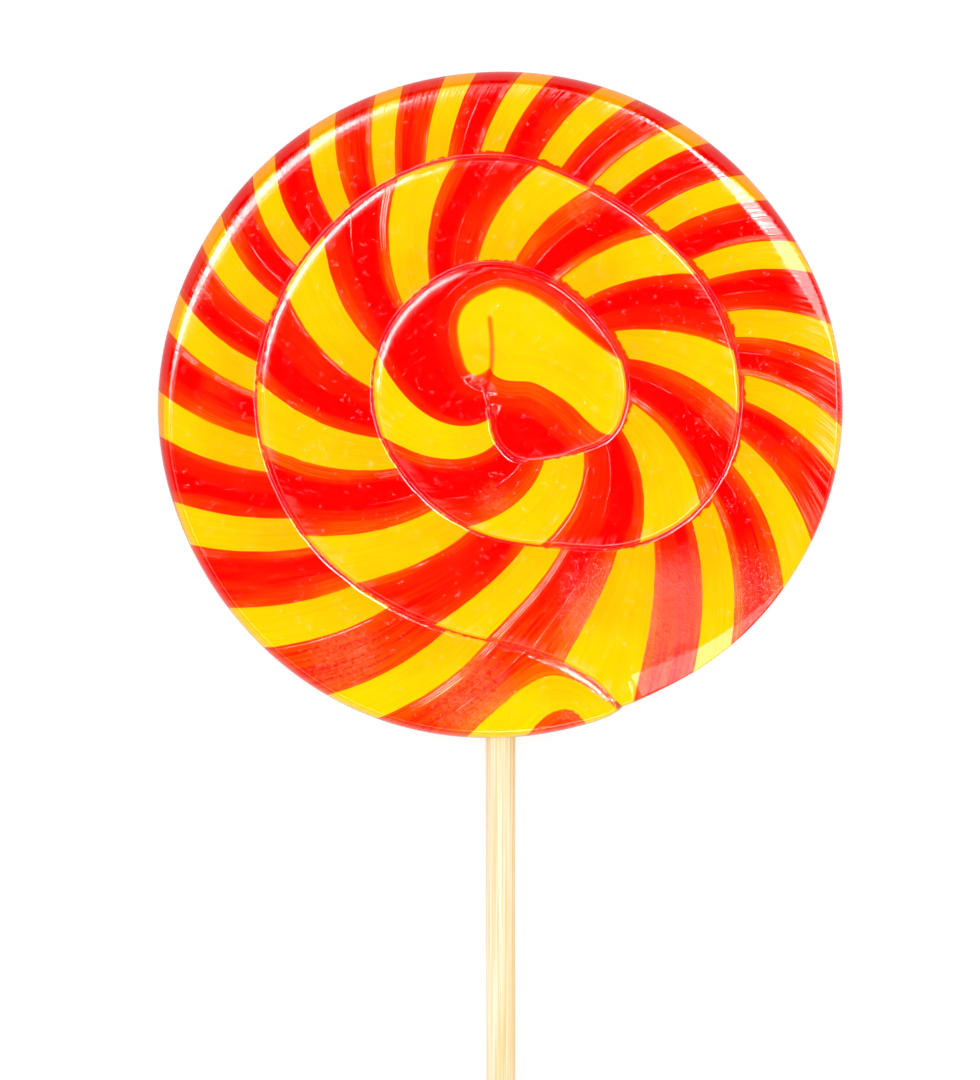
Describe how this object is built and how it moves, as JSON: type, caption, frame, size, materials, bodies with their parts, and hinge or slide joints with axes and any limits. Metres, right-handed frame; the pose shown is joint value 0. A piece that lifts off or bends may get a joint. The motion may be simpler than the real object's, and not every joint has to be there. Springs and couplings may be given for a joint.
{
  "type": "swirl lollipop",
  "caption": "Flat round lollipop: a rope of twisted red and yellow boiled sugar, coiled and pressed flat, on a round wooden stick.",
  "frame": {"origin": "on the flat back of the candy disc, under the centre of the swirl", "axes": "+Z out of the shown front; the stick points along -Y; +X to the right seen from the front"},
  "size_m": [0.0913, 0.2009, 0.0085],
  "materials": {
    "candy": "clear glossy boiled sugar, red with yellow stripes",
    "stick": "bare pale wood"
  },
  "bodies": {
    "root": {"candy": "candy", "stick": "stick"}
  },
  "joints": []
}
